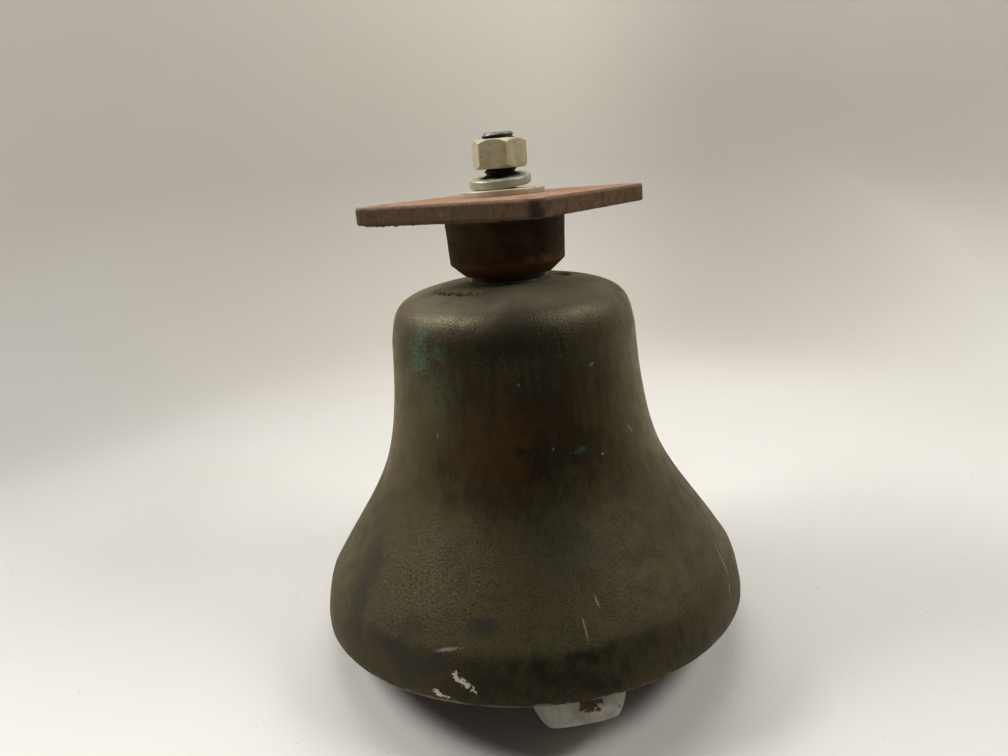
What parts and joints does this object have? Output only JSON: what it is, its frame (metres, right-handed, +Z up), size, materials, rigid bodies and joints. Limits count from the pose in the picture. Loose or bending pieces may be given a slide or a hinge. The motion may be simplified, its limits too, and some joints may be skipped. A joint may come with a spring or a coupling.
{
  "type": "locomotive bell",
  "caption": "Cast bronze locomotive bell on a square iron bracket, clamped by a centre stud and nut, with a swinging clapper driven by an air ringer inside.",
  "frame": {"origin": "on the bell's axis, at the level of the clapper's lowest point at rest: the bottom centre of the box round the whole part", "axes": "+Z up along the bell's axis, out of the bracket's plate; +X and +Y along the edges of the square plate; the clapper swings in the plane 45 degrees from +X towards -Y"},
  "size_m": [0.3048, 0.3048, 0.3713],
  "materials": {
    "bell": "aged cast bronze, olive-brown patina",
    "mounting_bracket": "rusty cast iron with worn edges",
    "hub_gasket": "dark red-brown hard rubber",
    "hub_washer": "thin bright steel",
    "crown_gasket": "black rubber",
    "centre_stud": "black oxide steel",
    "flat_washer": "dull zinc plate",
    "lock_washer": "dull zinc plate",
    "hex_nut": "yellowish zinc plate",
    "ringer_body": "dark cast iron",
    "cylinder_liner": "honed bronze",
    "rod_bushing": "machined bronze",
    "cylinder_cap": "dark cast iron",
    "cap_gasket": "fibre sheet",
    "cap_screws": "oily steel",
    "exhaust_screw": "oily steel",
    "exhaust_lock_nut": "oily steel",
    "piston": "machined bronze",
    "piston_seal": "black rubber",
    "plunger_rod": "ground steel",
    "plunger_nut": "oily steel",
    "return_spring": "spring steel wire",
    "clapper_arm": "forged, dark brown",
    "clapper_ball": "chipped white paint over iron",
    "pivot_bushing": "machined bronze",
    "pivot_pin": "oily steel",
    "pin_washer": "oily steel",
    "cotter_pin": "oily steel"
  },
  "bodies": {
    "bell_body": {"bell": "bell", "mounting_bracket": "mounting_bracket", "hub_gasket": "hub_gasket", "hub_washer": "hub_washer", "crown_gasket": "crown_gasket", "centre_stud": "centre_stud", "flat_washer": "flat_washer", "lock_washer": "lock_washer", "hex_nut": "hex_nut", "ringer_body": "ringer_body", "cylinder_liner": "cylinder_liner", "rod_bushing": "rod_bushing", "cylinder_cap": "cylinder_cap", "cap_gasket": "cap_gasket", "cap_screws": "cap_screws", "exhaust_screw": "exhaust_screw", "exhaust_lock_nut": "exhaust_lock_nut", "return_spring": "return_spring", "pivot_pin": "pivot_pin", "pin_washer": "pin_washer", "cotter_pin": "cotter_pin"},
    "clapper": {"clapper_arm": "clapper_arm", "clapper_ball": "clapper_ball", "pivot_bushing": "pivot_bushing"},
    "plunger": {"piston": "piston", "piston_seal": "piston_seal", "plunger_rod": "plunger_rod", "plunger_nut": "plunger_nut"}
  },
  "joints": [
    {"name": "clapper_swing", "type": "hinge", "parent": "bell_body", "child": "clapper", "pos_m": [0, 0, 0.2051], "axis": [0.7071, 0.7071, 0], "range_deg": [0, 67.79]},
    {"name": "plunger_slide", "type": "slide", "parent": "bell_body", "child": "plunger", "axis": [0.7071, -0.7071, 0], "range_m": [0, 0.02345], "stiffness_N_per_m": 150, "springref_m": -0.004, "deforming": ["return_spring"]}
  ],
  "couplings": [
    {"joint": "plunger_slide", "follows": "clapper_swing", "m_per_rad": 0.019796}
  ]
}
